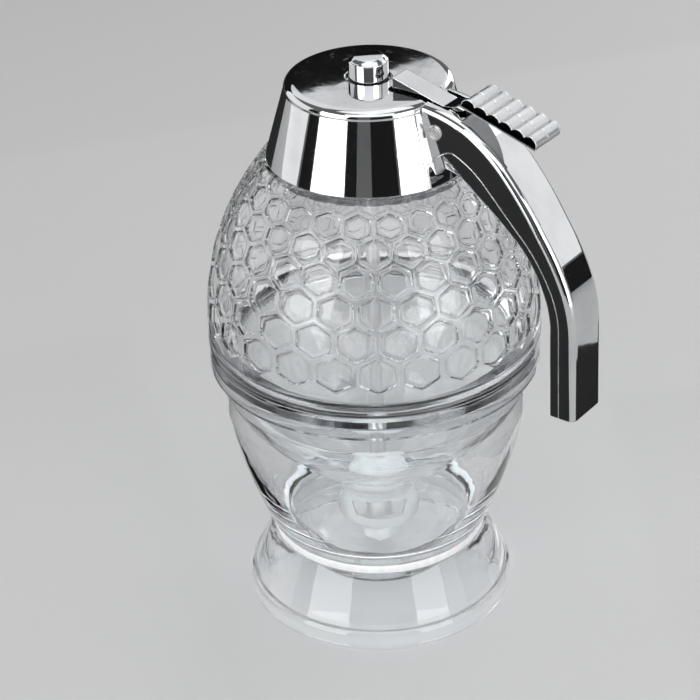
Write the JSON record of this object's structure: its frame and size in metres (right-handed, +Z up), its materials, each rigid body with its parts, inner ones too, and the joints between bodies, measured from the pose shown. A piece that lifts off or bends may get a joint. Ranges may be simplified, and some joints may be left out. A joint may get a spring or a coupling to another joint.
{
  "type": "honey dispenser",
  "caption": "Clear beehive jar with a bottom plug valve, a chromed screw cap with handle and thumb lever, and a clear drip stand.",
  "frame": {"origin": "centre of the foot's underside on the jar's axis, at table height", "axes": "+Z up along the jar's axis, +X towards the handle, +Y to the side"},
  "size_m": [0.1267, 0.1016, 0.1826],
  "materials": {
    "clear_acrylic": "polished clear moulding",
    "plated_chrome": "bright chrome plate",
    "plain_steel": "drawn and turned stainless steel",
    "milky_silicone": "translucent, satin",
    "white_plastic": "moulded, satin"
  },
  "bodies": {
    "stand": {"stand_foot": "clear_acrylic", "stand_bowl": "clear_acrylic"},
    "jar": {"jar_dome": "clear_acrylic", "jar_funnel": "clear_acrylic", "outlet_cage": "milky_silicone"},
    "gasket": {"neck_gasket": "milky_silicone"},
    "cap": {"cap_shell": "plated_chrome", "handle_cover": "plated_chrome", "cap_liner": "white_plastic", "rod_guide": "white_plastic", "rod_wiper": "milky_silicone", "lever_pin": "plain_steel", "spring_washer": "plain_steel"},
    "lever": {"lever": "plated_chrome"},
    "plunger": {"plunger_knob": "plated_chrome", "plunger_rod": "plain_steel", "valve_plug": "milky_silicone", "return_spring": "plain_steel"}
  },
  "joints": [
    {"name": "jar_lift", "type": "slide", "parent": "stand", "child": "jar", "axis": [0, 0, 1], "range_m": [0, 0.08]},
    {"name": "cap_rise", "type": "slide", "parent": "jar", "child": "gasket", "axis": [0, 0, 1], "range_m": [0, 0.006]},
    {"name": "cap_turn", "type": "hinge", "parent": "gasket", "child": "cap", "pos_m": [0, 0, 0.159], "axis": [0, 0, 1], "range_deg": [0, 540]},
    {"name": "lever_pivot", "type": "hinge", "parent": "cap", "child": "lever", "pos_m": [0.0284, 0, 0.1687], "axis": [0, 1, 0], "range_deg": [0, 8]},
    {"name": "plunger_lift", "type": "slide", "parent": "cap", "child": "plunger", "axis": [0, 0, 1], "range_m": [0, 0.0044], "stiffness_N_per_m": 300, "springref_m": -0.004, "deforming": ["return_spring"]}
  ],
  "couplings": [
    {"joint": "cap_turn", "follows": "cap_rise", "rad_per_m": 1570.8},
    {"joint": "lever_pivot", "follows": "plunger_lift", "rad_per_m": 31.25}
  ]
}
